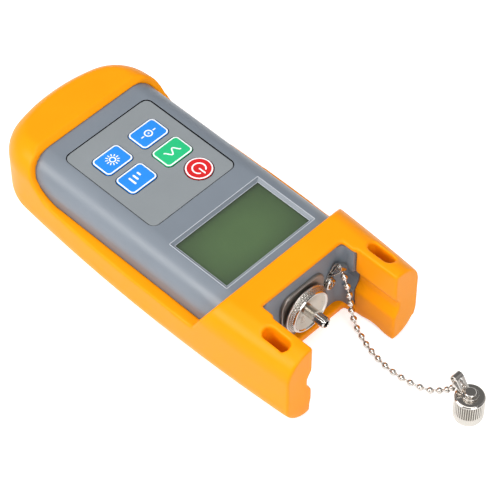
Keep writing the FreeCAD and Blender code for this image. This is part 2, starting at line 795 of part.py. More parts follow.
def adapter_sleeve():
    back = spigot_rear_y + slip_gap
    outline = [(ferrule_r, back), (collar_r, back), (collar_r, back + collar_length),
               (tube_r, back + collar_length), (tube_r, tube_end_y - 0.4),
               (tube_r - 0.4, tube_end_y), (ferrule_r + 0.2, tube_end_y),
               (ferrule_r, tube_end_y - 0.2)]
    return revolve_y(outline, port_z)


def detector_can():
    front = spigot_rear_y - slip_gap - aperture_length
    can = cyl_y(can_r, bush_rear_y, front, 0, port_z)
    return can.cut(cyl_y(can_window_r, front - can_window_depth, front + 1, 0, port_z))


# ---------------------------------------------------------------- straps, chain and cap
def folded_strap(reach, rise, bead, chain_way, hole_r, eye_r, head_r):
    # A strip folded round the chain's last bead, its two ends pierced by one hole.
    # The hole is at the origin under a head, and the fold lies along +X, raised to rise.
    stack = 2 * strap_leaf
    inner = bead + joint_gap
    outer = inner + strap_leaf
    start = Vector(head_r + 2 * slip_gap, 0, strap_leaf)
    end = Vector(reach, 0, rise)
    length = (end - start).Length
    lean = math.degrees(math.atan2(rise - strap_leaf, reach - start.x))

    def teardrop(tip, radius):
        spread = math.asin((radius - tip) / length)
        up = (radius * -math.sin(spread) + length, radius * math.cos(spread))
        edges = [
            Part.LineSegment(Vector(0, 0, -tip), Vector(0, 0, tip)).toShape() if tip else None,
            Part.LineSegment(Vector(0, 0, tip), Vector(up[0], 0, up[1])).toShape(),
            Part.Arc(Vector(up[0], 0, up[1]), Vector(length + radius, 0, 0),
                     Vector(up[0], 0, -up[1])).toShape(),
            Part.LineSegment(Vector(up[0], 0, -up[1]), Vector(0, 0, -tip)).toShape()]
        return face_of([e for e in edges if e])

    half = strap_width / 2
    strip = teardrop(strap_leaf, outer).extrude(Vector(0, strap_width, 0))
    hollow = teardrop(0, inner).extrude(Vector(0, strap_width + 2, 0))
    strip.translate(Vector(0, -half, 0))
    hollow.translate(Vector(0, -half - 1, 0))
    window = rounded_plate(stack, length - inner / 4, -strap_slot / 2, strap_slot / 2,
                           -far, far, strap_slot / 2 - nothing)
    strip = strip.cut(hollow).cut(window)
    strip.rotate(Vector(0, 0, 0), Vector(0, 1, 0), -lean)
    strip.translate(start)
    eye = cyl_z(eye_r, 0, stack)
    flat = box(0, start.x + strap_leaf / 2, -half, half, 0, stack)
    strap = fuse_all([strip, eye, flat]).cut(cyl_z(hole_r, -far, far))
    strap = strap.cut(box(-far, far, -far, far, -far, 0))
    way = Vector(*chain_way)
    return strap.cut(Part.makeCylinder(pin_r + pin_room, 3 * bead, end, way))


def chain_points():
    # Bead centres at equal steps along the route, none lower than the table allows.
    curve = Part.BSplineCurve()
    curve.interpolate([Vector(*p) for p in chain_route])
    edge = curve.toShape()
    steps = round(edge.Length / bead_pitch)
    places = edge.discretize(Number=steps + 1)
    return [Vector(p.x, p.y, max(p.z, bead_r)) for p in places]


def bead_ball(beads, i):
    # A bead whose poles and seam are turned away from its pins.
    before, after = beads[max(i - 1, 0)], beads[min(i + 1, len(beads) - 1)]
    way = (after - before).normalize()
    side = way.cross(Vector(1, 0, 0)).normalize()
    axis = way.cross(side)
    ball = Part.makeSphere(bead_r)
    ball.Placement = Placement(beads[i], Rotation(side, axis.cross(side), axis, "ZXY"))
    return ball


def chain_piece(beads, first, last):
    # Beads joined by pins. A piece that follows another starts with the pin that
    # swivels in the bead before it.
    solids = [bead_ball(beads, i) for i in range(first, last)]
    for a, b in zip(beads[first:last - 1], beads[first + 1:last]):
        solids.append(Part.makeCylinder(pin_r, (b - a).Length, a, b - a))
    if first > 0:
        way = (beads[first] - beads[first - 1]).normalize()
        a = beads[first - 1] + way * (bead_r + joint_gap)
        solids.append(Part.makeCylinder(pin_r, (beads[first] - a).Length, a, way))
    return fuse_all(solids)


def dust_cap():
    # A fluted cap, open below, that goes over the adapter's tube.
    flat = cap_r - cap_base_r
    profile = [
        Part.LineSegment(Vector(0, 0, 0), Vector(flat, 0, 0)).toShape(),
        Part.Arc(Vector(flat, 0, 0),
                 Vector(flat + cap_base_r * math.sqrt(0.5), 0, cap_base_r * (1 - math.sqrt(0.5))),
                 Vector(cap_r, 0, cap_base_r)).toShape(),
        Part.LineSegment(Vector(cap_r, 0, cap_base_r), Vector(cap_r, 0, cap_height - 0.4)).toShape(),
        Part.LineSegment(Vector(cap_r, 0, cap_height - 0.4),
                         Vector(cap_r - 0.4, 0, cap_height)).toShape(),
        Part.LineSegment(Vector(cap_r - 0.4, 0, cap_height), Vector(0, 0, cap_height)).toShape(),
        Part.LineSegment(Vector(0, 0, cap_height), Vector(0, 0, 0)).toShape()]
    cap = face_of(profile).revolve(Vector(0, 0, 0), Vector(0, 0, 1), 360)
    tools = [cyl_z(tube_r + cap_bore_clearance, -1, cap_height - cap_web),
             cyl_z(stud_shank_r, cap_height - cap_web, cap_height + 1)]
    flute = cyl_z(flute_r, cap_base_r * 0.9, cap_height - 0.9, cap_r + flute_r * 0.35, 0)
    for i in range(cap_flutes):
        f = flute.copy()
        f.rotate(Vector(0, 0, 0), Vector(0, 0, 1), 360.0 * i / cap_flutes)
        tools.append(f)
    cap = cut_all(cap, tools)
    cap.translate(Vector(cap_x, cap_y, 0))
    return cap


def cap_stud():
    # The headed stud on the cap that the strap turns on.
    neck_top = cap_height + 2 * strap_leaf + 2 * joint_gap
    outline = [(0, cap_height - cap_web), (stud_shank_r, cap_height - cap_web),
               (stud_shank_r, cap_height), (stud_neck_r, cap_height),
               (stud_neck_r, neck_top), (stud_head_r, neck_top),
               (stud_head_r, neck_top + stud_head_h - 0.25),
               (stud_head_r - 0.25, neck_top + stud_head_h), (0, neck_top + stud_head_h)]
    return revolve_z(outline, cap_x, cap_y)


def anchor_strap(beads):
    # Lies on the end wall under its screw and reaches up and out to the first bead.
    up_wall = Vector(beads[0].x - anchor_x, 0, beads[0].z - anchor_z)
    reach = up_wall.Length
    rise = beads[0].y - wall_face_y
    along = up_wall.normalize()
    out = Vector(0, 1, 0)
    across = out.cross(along)
    spin = Rotation(along, across, out, "XZY")
    local = spin.inverted().multVec(beads[1] - beads[0])
    strap = folded_strap(reach, rise, bead_r, (local.x, local.y, local.z),
                         anchor_shank_r + slip_gap, anchor_head_r, anchor_head_r)
    strap.Placement = Placement(Vector(anchor_x, wall_face_y, anchor_z), spin)
    return strap


def cap_strap(beads):
    # Turns on the cap's stud and reaches up to the last bead.
    base = cap_height + joint_gap
    last = beads[-1]
    flat = Vector(last.x - cap_x, last.y - cap_y, 0)
    reach = flat.Length
    along = flat.normalize()
    up = Vector(0, 0, 1)
    spin = Rotation(along, up.cross(along), up, "XZY")
    local = spin.inverted().multVec(beads[-2] - last)
    strap = folded_strap(reach, last.z - base, bead_r, (local.x, local.y, local.z),
                         stud_neck_r + joint_gap, stud_neck_r + strap_eye_margin,
                         stud_head_r)
    strap.Placement = Placement(Vector(cap_x, cap_y, base), spin)
    return strap


def anchor_screw():
    seat = wall_face_y + 2 * strap_leaf + slip_gap
    head = cyl_y(anchor_head_r, seat, seat + anchor_head_h, anchor_x, anchor_z)
    top = [e for e in head.Edges if abs(e.BoundBox.YMin - seat - anchor_head_h) < nothing]
    head = head.makeFillet(anchor_edge_r, top)
    shank = cyl_y(anchor_shank_r, wall_face_y - anchor_depth + anchor_end_gap, seat + nothing,
                  anchor_x, anchor_z)
    arm = anchor_head_r * anchor_cross_reach
    low, high = seat + anchor_head_h * anchor_cross_floor, seat + 2 * anchor_head_h
    cross = [box(anchor_x - arm, anchor_x + arm, low, high,
                 anchor_z - cross_slot, anchor_z + cross_slot),
             box(anchor_x - cross_slot, anchor_x + cross_slot, low, high,
                 anchor_z - arm, anchor_z + arm)]
    return cut_all(head.fuse(shank), cross)


# ---------------------------------------------------------------- build every piece
def build():
    save("protective_boot", protective_boot())
    save("front_case", front_case())
    save("rear_cover", rear_cover())
    save("cover_screws", Part.makeCompound(cover_screws()))
    save("battery_door", battery_door())
    for number, (x, way) in enumerate(cell_rows(), 1):
        save("battery_cell_%d" % number, battery_cell(x, way))
    save("battery_contacts", Part.makeCompound(battery_contacts()))
    save("main_board", main_board())
    save("board_screws", Part.makeCompound(board_screws()))
    save("key_switches", Part.makeCompound(key_switches()))
    save("keypad_sheet", keypad_sheet())
    for name, x, y, kind in key_places():
        save(name, key_pad(x, y, kind))
    save("display_window", display_plate(pane_margin, pane_bottom, pane_top))
    save("display_panel", display_plate(pane_margin - 0.4, panel_bottom, pane_bottom))
    save("backlight_block", display_plate(pane_margin - 0.8, board_top, panel_bottom))
    save("port_flange", port_flange())
    save("port_nut", port_nut())
    save("adapter_ring", adapter_ring())
    save("adapter_sleeve", adapter_sleeve())
    save("detector_can", detector_can())
    back = bush_rear_y - detector_board_thickness
    save("detector_board", cyl_y(bush_r, back, bush_rear_y, 0, port_z))
    beads = chain_points()
    save("anchor_strap", anchor_strap(beads))
    save("anchor_screw", anchor_screw())
    run_start = drop_beads
    tail_start = drop_beads + run_beads
    save("chain_drop", chain_piece(beads, 0, run_start))
    save("chain_run", chain_piece(beads, run_start, tail_start))
    save("chain_tail", chain_piece(beads, tail_start, len(beads)))
    save("cap_strap", cap_strap(beads))
    save("dust_cap", dust_cap())
    save("cap_stud", cap_stud())
    for i in (run_start - 1, tail_start - 1, len(beads) - 1):
        print("pivot bead", i, beads[i])


build()
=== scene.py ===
# %% [markdown]
# # A handheld optical power meter
# The meter lies on its back: a grey case in an orange rubber boot, with a keypad, a display, a
# screw-on fibre adapter and a dust cap on a ball chain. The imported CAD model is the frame, and
# everything made here sits in it, in metres. Pieces whose CAD shape is right keep it and get a
# material. Soft, fine or repeated forms are made anew and stand in for their CAD solids.

# %% Load the frame
import bpy
import bmesh
import json
import math
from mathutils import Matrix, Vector


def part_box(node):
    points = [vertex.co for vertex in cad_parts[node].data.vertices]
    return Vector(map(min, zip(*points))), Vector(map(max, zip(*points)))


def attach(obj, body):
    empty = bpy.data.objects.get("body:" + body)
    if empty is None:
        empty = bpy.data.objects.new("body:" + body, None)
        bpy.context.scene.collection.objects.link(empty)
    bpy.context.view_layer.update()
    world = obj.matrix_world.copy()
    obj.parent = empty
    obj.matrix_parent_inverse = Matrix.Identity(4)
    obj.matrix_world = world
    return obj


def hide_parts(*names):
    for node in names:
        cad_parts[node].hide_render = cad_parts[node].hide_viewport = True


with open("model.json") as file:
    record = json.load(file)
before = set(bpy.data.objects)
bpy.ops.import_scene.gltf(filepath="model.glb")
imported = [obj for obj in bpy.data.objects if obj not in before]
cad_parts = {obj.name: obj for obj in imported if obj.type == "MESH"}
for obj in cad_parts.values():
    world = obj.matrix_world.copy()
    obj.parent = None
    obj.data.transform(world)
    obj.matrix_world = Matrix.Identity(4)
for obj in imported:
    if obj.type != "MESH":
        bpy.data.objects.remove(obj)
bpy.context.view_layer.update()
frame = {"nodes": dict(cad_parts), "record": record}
mm = 0.001

# %% [markdown]
# ## Camera
# The camera looks down on the meter from beyond its near right corner, through a long lens, so
# the edges stay almost parallel. A place and a direction say that plainly: Blender's
# `to_track_quat` turns a direction into a rotation with the horizon level.

# %% Camera
camera_place = Vector((361.2, 376.9, 642.8)) * mm
azimuth, elevation = math.radians(45.52), math.radians(50.66)
camera_data = bpy.data.cameras.new("camera")
camera_data.sensor_width = 36.0
camera_data.lens = 171.94
camera_data.clip_start, camera_data.clip_end = 0.02, 10.0
camera = bpy.data.objects.new("camera", camera_data)
bpy.context.scene.collection.objects.link(camera)
toward = Vector((-math.sin(azimuth) * math.cos(elevation),
                 -math.cos(azimuth) * math.cos(elevation), -math.sin(elevation)))
camera.location = camera_place
camera.rotation_mode = "QUATERNION"
camera.rotation_quaternion = toward.to_track_quat("-Z", "Y")
bpy.context.scene.camera = camera
print("camera looks along", [round(c, 3) for c in toward])

# %% [markdown]
# ## Shader trees
# The floor, the world and every finish are shader trees: a few nodes wired together. The nodes
# that come back again and again get a short helper each, so that a recipe reads like a recipe. A
# number goes on a node's socket, and anything else is wired to it.

# %% Shader helpers
def shader_nodes(owner):
    owner.use_nodes = True
    tree = owner.node_tree
    tree.nodes.clear()
    return tree


def link(tree, source, target):
    tree.links.new(source, target)


def put(tree, value, socket):
    if isinstance(value, (int, float)):
        socket.default_value = value
    else:
        link(tree, value, socket)


def sums(tree, operation, first, second=None):
    node = tree.nodes.new("ShaderNodeMath")
    node.operation = operation
    put(tree, first, node.inputs[0])
    if second is not None:
        put(tree, second, node.inputs[1])
    return node.outputs[0]


def ramp(tree, source, low, high, start=0.3, end=0.7):
    # low up to start, high from end on, and even between them
    node = tree.nodes.new("ShaderNodeMapRange")
    for label, value in (("From Min", start), ("From Max", end), ("To Min", low),
                         ("To Max", high)):
        node.inputs[label].default_value = value
    link(tree, source, node.inputs["Value"])
    return node.outputs[0]


def seen_ray(tree):
    # 1 for camera, glossy and transmission rays, 0 for the rays that only light the object
    path = tree.nodes.new("ShaderNodeLightPath")
    direct = sums(tree, "MAXIMUM", path.outputs["Is Camera Ray"], path.outputs["Is Glossy Ray"])
    return sums(tree, "MAXIMUM", direct, path.outputs["Is Transmission Ray"])


# %% [markdown]
# ## Floor
# A white sweep is the plain ground of a studio. A very bright floor would burn out the meter's
# soft shadow, so this one is a pale diffuse surface, and a share of its own light is added only
# where it is looked at. It lies a hair under the meter's feet.

# %% Floor
floor_half, floor_drop, floor_pale, floor_glow = 3.0, 0.05 * mm, 0.80, 0.54


def white_floor(name):
    material = bpy.data.materials.new(name)
    tree = shader_nodes(material)
    out = tree.nodes.new("ShaderNodeOutputMaterial")
    matte = tree.nodes.new("ShaderNodeBsdfDiffuse")
    matte.inputs["Color"].default_value = (floor_pale, floor_pale, floor_pale, 1)
    glow = tree.nodes.new("ShaderNodeEmission")
    glow.inputs["Color"].default_value = (1, 1, 1, 1)
    link(tree, sums(tree, "MULTIPLY", seen_ray(tree), floor_glow), glow.inputs["Strength"])
    both = tree.nodes.new("ShaderNodeAddShader")
    link(tree, matte.outputs[0], both.inputs[0])
    link(tree, glow.outputs[0], both.inputs[1])
    link(tree, both.outputs[0], out.inputs["Surface"])
    return material


floor_mesh = bpy.data.meshes.new("floor")
floor_mesh.from_pydata([(x * floor_half, y * floor_half, -floor_drop)
                        for x, y in ((-1, -1), (1, -1), (1, 1), (-1, 1))], [], [(0, 1, 2, 3)])
floor_mesh.materials.append(white_floor("white_sweep"))
floor = bpy.data.objects.new("floor", floor_mesh)
bpy.context.scene.collection.objects.link(floor)
print("floor", 2 * floor_half, "m across")

# %% [markdown]
# ## World
# The world does three jobs, told apart by the kind of ray that asks. It is plain white to the
# camera and through clear plastic. To the rays that light the meter it is only a mild, cool fill.
# Mirror reflections see a room: pale at the horizon, dim overhead, with soft bright strips. In
# an evenly white room polished nickel would look like white paint, because metal shows nothing
# but what is around it.

# %% World helpers
def background(tree, strength, colour):
    node = tree.nodes.new("ShaderNodeBackground")
    node.inputs["Color"].default_value = (*colour, 1)
    put(tree, strength, node.inputs["Strength"])
    return node.outputs[0]


def choose(tree, factor, first, second):
    # first where the factor is 0, second where it is 1
    node = tree.nodes.new("ShaderNodeMixShader")
    for socket, source in zip(node.inputs, (factor, first, second)):
        link(tree, source, socket)
    return node.outputs[0]


def room_level(tree):
    # Brightness of the reflected room: by height, and never under the strips round the sides.
    place = tree.nodes.new("ShaderNodeTexCoord")
    split = tree.nodes.new("ShaderNodeSeparateXYZ")
    link(tree, place.outputs["Generated"], split.inputs[0])
    turn = sums(tree, "ARCTAN2", split.outputs["Y"], split.outputs["X"])
    strips = sums(tree, "SINE", sums(tree, "MULTIPLY", turn, strip_count))
    by_height = ramp(tree, split.outputs["Z"], 1.0, 0.0, *dim_from_to)
    by_strip = ramp(tree, strips, strip_low, strip_high, -0.2, 0.6)
    return sums(tree, "MAXIMUM", by_height, by_strip)


# %% World
fill_strength, fill_colour = 0.42, (0.93, 0.96, 1.0)
white, room_grey = (1, 1, 1), (0.8, 0.8, 0.8)
strip_count, strip_low, strip_high, dim_from_to = 3.0, 0.24, 0.50, (0.02, 0.42)

world = bpy.data.worlds.new("studio")
bpy.context.scene.world = world
tree = shader_nodes(world)
out = tree.nodes.new("ShaderNodeOutputWorld")
plain = choose(tree, seen_ray(tree), background(tree, fill_strength, fill_colour),
               background(tree, 1.0, white))
path = tree.nodes.new("ShaderNodeLightPath")
studio = choose(tree, path.outputs["Is Glossy Ray"], plain,
                background(tree, room_level(tree), room_grey))
link(tree, studio, out.inputs["Surface"])
bpy.context.scene.view_settings.view_transform = "Standard"
print("world nodes", len(tree.nodes))

# %% [markdown]
# ## Lamps
# Three softboxes light the meter, as on a product table: a broad one overhead for the top faces, a
# long low one at the near side for the boot's flank, and a small one at the port's end so that the
# bay isn't a dark hole. Area lamps of that size give wide, soft highlights on rubber and plastic.

# %% Lamps
def softbox(name, place, aim, size, power, colour):
    data = bpy.data.lights.new(name, "AREA")
    data.shape = "RECTANGLE"
    data.size, data.size_y = size
    data.energy = power
    data.color = colour
    obj = bpy.data.objects.new(name, data)
    bpy.context.scene.collection.objects.link(obj)
    obj.location = place
    obj.rotation_mode = "QUATERNION"
    obj.rotation_quaternion = (Vector(aim) - Vector(place)).to_track_quat("-Z", "Y")


softbox("lamp_over", (0.16, 0.12, 0.90), (0, 0, 0), (0.8, 0.8), 4.7, (1.0, 1.0, 1.0))
softbox("lamp_near_side", (0.74, -0.36, 0.56), (0, 0, 0.01), (0.7, 0.32), 6.0, (1.0, 0.99, 0.97))
softbox("lamp_port_end", (0.28, 0.86, 0.50), (0, 0, 0.01), (0.5, 0.3), 3.0, (1.0, 0.99, 0.98))

# %% [markdown]
# ## Materials
# Every finish is a Principled shader plus noise on Object coordinates, so a pattern keeps its real
# scale: a noise scale of 4000 means a grain of about a quarter of a millimetre. One helper makes
# the shader and adds grain as bump, and a slow noise as colour drift and as roughness drift.

# %% Material helper
materials = {}


def noise(tree, coords, scale, detail):
    node = tree.nodes.new("ShaderNodeTexNoise")
    node.inputs["Scale"].default_value = scale
    node.inputs["Detail"].default_value = detail
    link(tree, coords.outputs["Object"], node.inputs["Vector"])
    return node.outputs["Fac"]


def finish_of(name, colour, rough, metal=0.0, grain=4000, bump=0.02, depth=0.05, drift=0.04,
              patch=60.0, rough_drift=0.05, shine=0.5, ior=1.5):
    # grain: bump noise scale; depth: its height in mm; patch: scale of the slow colour drift
    material = bpy.data.materials.new(name)
    tree = shader_nodes(material)
    out = tree.nodes.new("ShaderNodeOutputMaterial")
    skin = tree.nodes.new("ShaderNodeBsdfPrincipled")
    skin.name = "skin"
    link(tree, skin.outputs[0], out.inputs["Surface"])
    skin.inputs["Metallic"].default_value = metal
    skin.inputs["IOR"].default_value = ior
    skin.inputs["Specular IOR Level"].default_value = shine
    coords = tree.nodes.new("ShaderNodeTexCoord")
    slow, fine = noise(tree, coords, patch, 3.0), noise(tree, coords, grain, 2.0)
    tint = tree.nodes.new("ShaderNodeMix")
    tint.data_type = "RGBA"
    tint.name = "tint"
    tint.inputs["A"].default_value = [c * (1 - drift) for c in colour] + [1]
    tint.inputs["B"].default_value = [min(1.0, c * (1 + drift)) for c in colour] + [1]
    link(tree, ramp(tree, slow, 0, 1), tint.inputs["Factor"])
    link(tree, tint.outputs["Result"], skin.inputs["Base Color"])
    low, high = max(0.02, rough - rough_drift), rough + rough_drift
    link(tree, ramp(tree, slow, low, high), skin.inputs["Roughness"])
    relief = tree.nodes.new("ShaderNodeBump")
    relief.inputs["Strength"].default_value = bump
    relief.inputs["Distance"].default_value = depth * mm
    link(tree, fine, relief.inputs["Height"])
    link(tree, relief.outputs[0], skin.inputs["Normal"])
    materials[name] = material
    return material


# %% [markdown]
# ### Plastics and rubber
# The boot is matte silicone rubber, so its gloss is low and soft. The case and the keypad film
# have the fine even grain of a spark-eroded mould and of textured film, which is bump rather than
# colour. The keys are printed in clear, strong colours under a smoother film.

# %% Plastics and rubber
finish_of("boot_rubber", (1.0, 0.322, 0.001), 0.38, shine=0.13, grain=2600, bump=0.25, depth=0.02,
          drift=0.03, patch=45, rough_drift=0.06)
finish_of("case_plastic", (0.190, 0.217, 0.252), 0.38, grain=5200, bump=0.75, depth=0.035,
          drift=0.03)
finish_of("cover_plastic", (0.19, 0.215, 0.25), 0.55, grain=5200, bump=0.5, depth=0.03)
# painted highlight: a lighter grey than the case, for the light the bezel's edge lines catch
finish_of("edge_painted_highlight", (0.50, 0.53, 0.58), 0.38, grain=5200, bump=0.2, depth=0.01)
finish_of("keypad_film", (0.246, 0.266, 0.278), 0.42, shine=0.4, grain=5200, bump=0.8,
          depth=0.035, drift=0.03)
for name, colour in (("key_blue", (0.022, 0.25, 0.78)), ("key_green", (0.020, 0.50, 0.195)),
                     ("key_red", (0.64, 0.014, 0.016))):
    finish_of(name, colour, 0.36, shine=0.3, grain=6500, bump=0.25, depth=0.015, drift=0.03)
finish_of("print_white", (0.90, 0.92, 0.94), 0.45, grain=6500, bump=0.2, depth=0.01, drift=0.02)
finish_of("board_green", (0.01, 0.10, 0.03), 0.40, grain=900, bump=0.3, depth=0.03, drift=0.15,
          patch=400)
finish_of("switch_black", (0.02, 0.02, 0.02), 0.45)
# painted shade: a near-black finish that darkens the groove round the keypad film
finish_of("groove_painted_shade", (0.012, 0.012, 0.013), 0.70, shine=0.05)
finish_of("backlight_white", (0.80, 0.80, 0.76), 0.50)
print("finishes so far", len(materials))

# %% [markdown]
# ### Metals
# The fibre hardware is nickel plate over brass: a little warm, and more or less polished from
# piece to piece. A metal's colour is that of its reflections, so polish is only roughness here.
# The bottoms of a grip's grooves are the same metal, painted darker and rougher: painted shade.

# %% Metals
finish_of("nickel_satin", (0.55, 0.52, 0.475), 0.24, metal=1.0, grain=3000, bump=0.06, depth=0.01,
          drift=0.03, patch=120, rough_drift=0.03)
finish_of("nickel_bright", (0.62, 0.585, 0.545), 0.11, metal=1.0, grain=900, bump=0.02, depth=0.01,
          drift=0.03, patch=150, rough_drift=0.03)
finish_of("nickel_face", (0.46, 0.425, 0.37), 0.30, metal=1.0, grain=5000, bump=0.25, depth=0.01,
          drift=0.05, patch=250, rough_drift=0.06)
# painted shade: a darker copy of the nickel for the bottoms of grooves
finish_of("nickel_painted_groove_shade", (0.16, 0.145, 0.125), 0.42, metal=1.0, grain=3000, bump=0.05, depth=0.01)
finish_of("flange_grey", (0.30, 0.275, 0.25), 0.42, metal=0.85, grain=7000, bump=0.4, depth=0.01,
          drift=0.06, patch=200)
finish_of("screw_steel", (0.56, 0.56, 0.55), 0.32, metal=1.0, grain=2500, bump=0.1, depth=0.01)
finish_of("contact_steel", (0.68, 0.66, 0.62), 0.25, metal=1.0)
finish_of("detector_gold", (0.83, 0.60, 0.26), 0.22, metal=1.0)
finish_of("cell_jacket", (0.05, 0.07, 0.09), 0.30, metal=0.4, drift=0.2, patch=90)
print("finishes so far", len(materials))

# %% [markdown]
# ### Display
# The unlit display is an olive film whose colour is painted darker towards its edges: painted
# shade where the frame shades it. That painted shade is worked out from the film's own CAD box,
# so it follows the piece if its size changes. The pane over it is clear with a faint green cast, so
# its surface gives the gloss.

# %% Display finishes
def display_finish():
    material = finish_of("display_olive", (0.053, 0.103, 0.030), 0.62, shine=0.08, grain=7000,
                         bump=0.02, depth=0.01, drift=0.05, patch=30)
    tree = material.node_tree
    low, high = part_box("display_panel")
    coords = tree.nodes.new("ShaderNodeTexCoord")
    place = tree.nodes.new("ShaderNodeMapping")
    place.vector_type = "TEXTURE"
    place.inputs["Location"].default_value = (low + high) / 2
    place.inputs["Scale"].default_value = (high.x - low.x, high.y - low.y, 1)
    link(tree, coords.outputs["Object"], place.inputs["Vector"])
    from_middle = tree.nodes.new("ShaderNodeVectorMath")
    from_middle.operation = "LENGTH"
    link(tree, place.outputs[0], from_middle.inputs[0])
    dim = tree.nodes.new("ShaderNodeVectorMath")
    dim.operation = "SCALE"
    link(tree, tree.nodes["tint"].outputs["Result"], dim.inputs[0])
    # painted shade: the olive colour is scaled down from the middle out to the edges
    link(tree, ramp(tree, from_middle.outputs["Value"], 1.08, 0.62, 0.2, 0.66),
         dim.inputs["Scale"])
    link(tree, dim.outputs["Vector"], tree.nodes["skin"].inputs["Base Color"])


def pane_finish():
    material = finish_of("window_clear", (0.75, 0.85, 0.75), 0.12, rough_drift=0.02, grain=300,
                         bump=0.01, depth=0.01, drift=0.01, ior=1.45)
    material.node_tree.nodes["skin"].inputs["Alpha"].default_value = 0.05


display_finish()
pane_finish()
print("finishes", len(materials))

# %% [markdown]
# ## Carried-over CAD nodes
# The record names a finish for each node, so one loop dresses them all.

# %% Dress the CAD nodes
slot_of = {part["node"]: part["material_slot"] for part in frame["record"]["subparts"]}
body_of = {node: body for body, nodes in frame["record"]["behaviour"]["bodies"].items()
           for node in nodes}
for node, obj in frame["nodes"].items():
    obj.data.materials.clear()
    obj.data.materials.append(materials[slot_of[node]])
print("nodes dressed", len(slot_of))


# %% Helpers for new pieces
def new_piece(name, mesh, finishes):
    obj = bpy.data.objects.new(name, mesh)
    bpy.context.scene.collection.objects.link(obj)
    for finish in finishes:
        mesh.materials.append(materials[finish])
    return obj


def attend(obj, node):
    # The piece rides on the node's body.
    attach(obj, body_of[node])
    print(obj.name, "faces", len(obj.data.polygons))


def settle(obj, node):
    # The piece stands for a CAD node, which is then hidden.
    attend(obj, node)
    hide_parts(node)


def mesh_of(bm, name, smooth=True):
    mesh = bpy.data.meshes.new(name)
    bm.to_mesh(mesh)
    bm.free()
    for face in mesh.polygons:
        face.use_smooth = smooth
    return mesh


def skin_between(bm, a, b):
    # A strip of faces from one closed ring of points to the next.
    return [bm.faces.new((a[i], a[(i + 1) % len(a)], b[(i + 1) % len(a)], b[i]))
            for i in range(len(a))]


def apply_modifiers(obj):
    view = bpy.context.evaluated_depsgraph_get()
    mesh = bpy.data.meshes.new_from_object(obj.evaluated_get(view))
    obj.modifiers.clear()
    obj.data = mesh


# %% [markdown]
# ## The rubber boot
# A moulded rubber boot has no sharp edge anywhere. Bevels would have to be picked edge by edge, and
# they fail where soft forms run into each other. So a copy of the exact but crisp CAD solid is
# turned into a fine even skin with a voxel remesh, and a few rounds of smoothing then wear every
# edge down to a soft radius, as the mould does. The skin is let out by a hair so that it presses
# on the case, and is held inside the CAD box. The feet under the arms are worn a little more.

# %% Soft copy of a solid
weld = 0.0005 * mm


def soft_copy(node, name, voxel, rounds, swell=0.0, share=1.0):
    # voxel and swell in mm; rounds of smoothing; share of the faces that is kept
    bm = bmesh.new()
    bm.from_mesh(frame["nodes"][node].data)
    bmesh.ops.remove_doubles(bm, verts=bm.verts, dist=weld)
    obj = new_piece(name, mesh_of(bm, name), [slot_of[node]])
    remesh = obj.modifiers.new("skin", "REMESH")
    remesh.mode = "VOXEL"
    remesh.voxel_size = voxel * mm
    remesh.use_smooth_shade = True
    smooth = obj.modifiers.new("worn", "SMOOTH")
    smooth.factor = 0.5
    smooth.iterations = rounds
    if share < 1:
        thin = obj.modifiers.new("thin", "DECIMATE")
        thin.ratio = share
    apply_modifiers(obj)
    low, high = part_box(node)
    normals = [v.normal.copy() for v in obj.data.vertices]
    for v, normal in zip(obj.data.vertices, normals):
        moved = v.co + normal * swell * mm
        v.co = [min(max(c, a), b) for c, a, b in zip(moved, low, high)]
    for face in obj.data.polygons:
        face.use_smooth = True
    return obj


# %% The boot
foot_height, foot_start, foot_rounds = 6 * mm, 50 * mm, 40

boot = soft_copy("protective_boot", "boot_skin", voxel=0.42, rounds=16, swell=0.12, share=0.40)
feet = boot.vertex_groups.new(name="feet")
feet.add([v.index for v in boot.data.vertices if v.co.z < foot_height and v.co.y > foot_start],
         1.0, "REPLACE")
worn_feet = boot.modifiers.new("worn_feet", "SMOOTH")
worn_feet.vertex_group = "feet"
worn_feet.factor, worn_feet.iterations = 0.5, foot_rounds
apply_modifiers(boot)
settle(boot, "protective_boot")

# %% [markdown]
# ## Keys
# Each key is one printed pad: a low crowned face with a white line printed round its edge. The line
# could be a painted pattern, but rings of points that follow the key's outline make the wall, the
# line and the crown in one go, and the line is then its own band of faces with sharp borders.

# %% Key pads
def rounded_outline(half_x, half_y, radius, steps=8):
    points = []
    for corner, (sx, sy) in enumerate(((1, 1), (-1, 1), (-1, -1), (1, -1))):
        for i in range(steps + 1):
            a = math.radians(90 * (corner + i / steps))
            points.append((sx * (half_x - radius) + radius * math.cos(a),
                           sy * (half_y - radius) + radius * math.sin(a)))
    return points


pad_depth, line_start, line_width, crown_start, crown_rings = 0.9, 0.12, 0.52, 0.25, 6


def pad_rings(top, deepest, crown):
    # inset from the outline, height, and whether the band that ends here is white print
    line_end = line_start + line_width
    rings = [(0.0, top - pad_depth, False), (0.0, top - 0.20, False), (0.05, top - 0.12, False),
             (line_start, top - 0.09, False), (line_end, top - 0.06, True),
             (line_end + crown_start, top - 0.05, False)]
    for i in range(1, crown_rings + 1):
        share = i / (crown_rings + 1)
        inset = line_end + crown_start + (deepest - line_end - crown_start) * share
        rings.append((inset, top - 0.05 + crown * (1 - (1 - share) ** 2), False))
    return rings


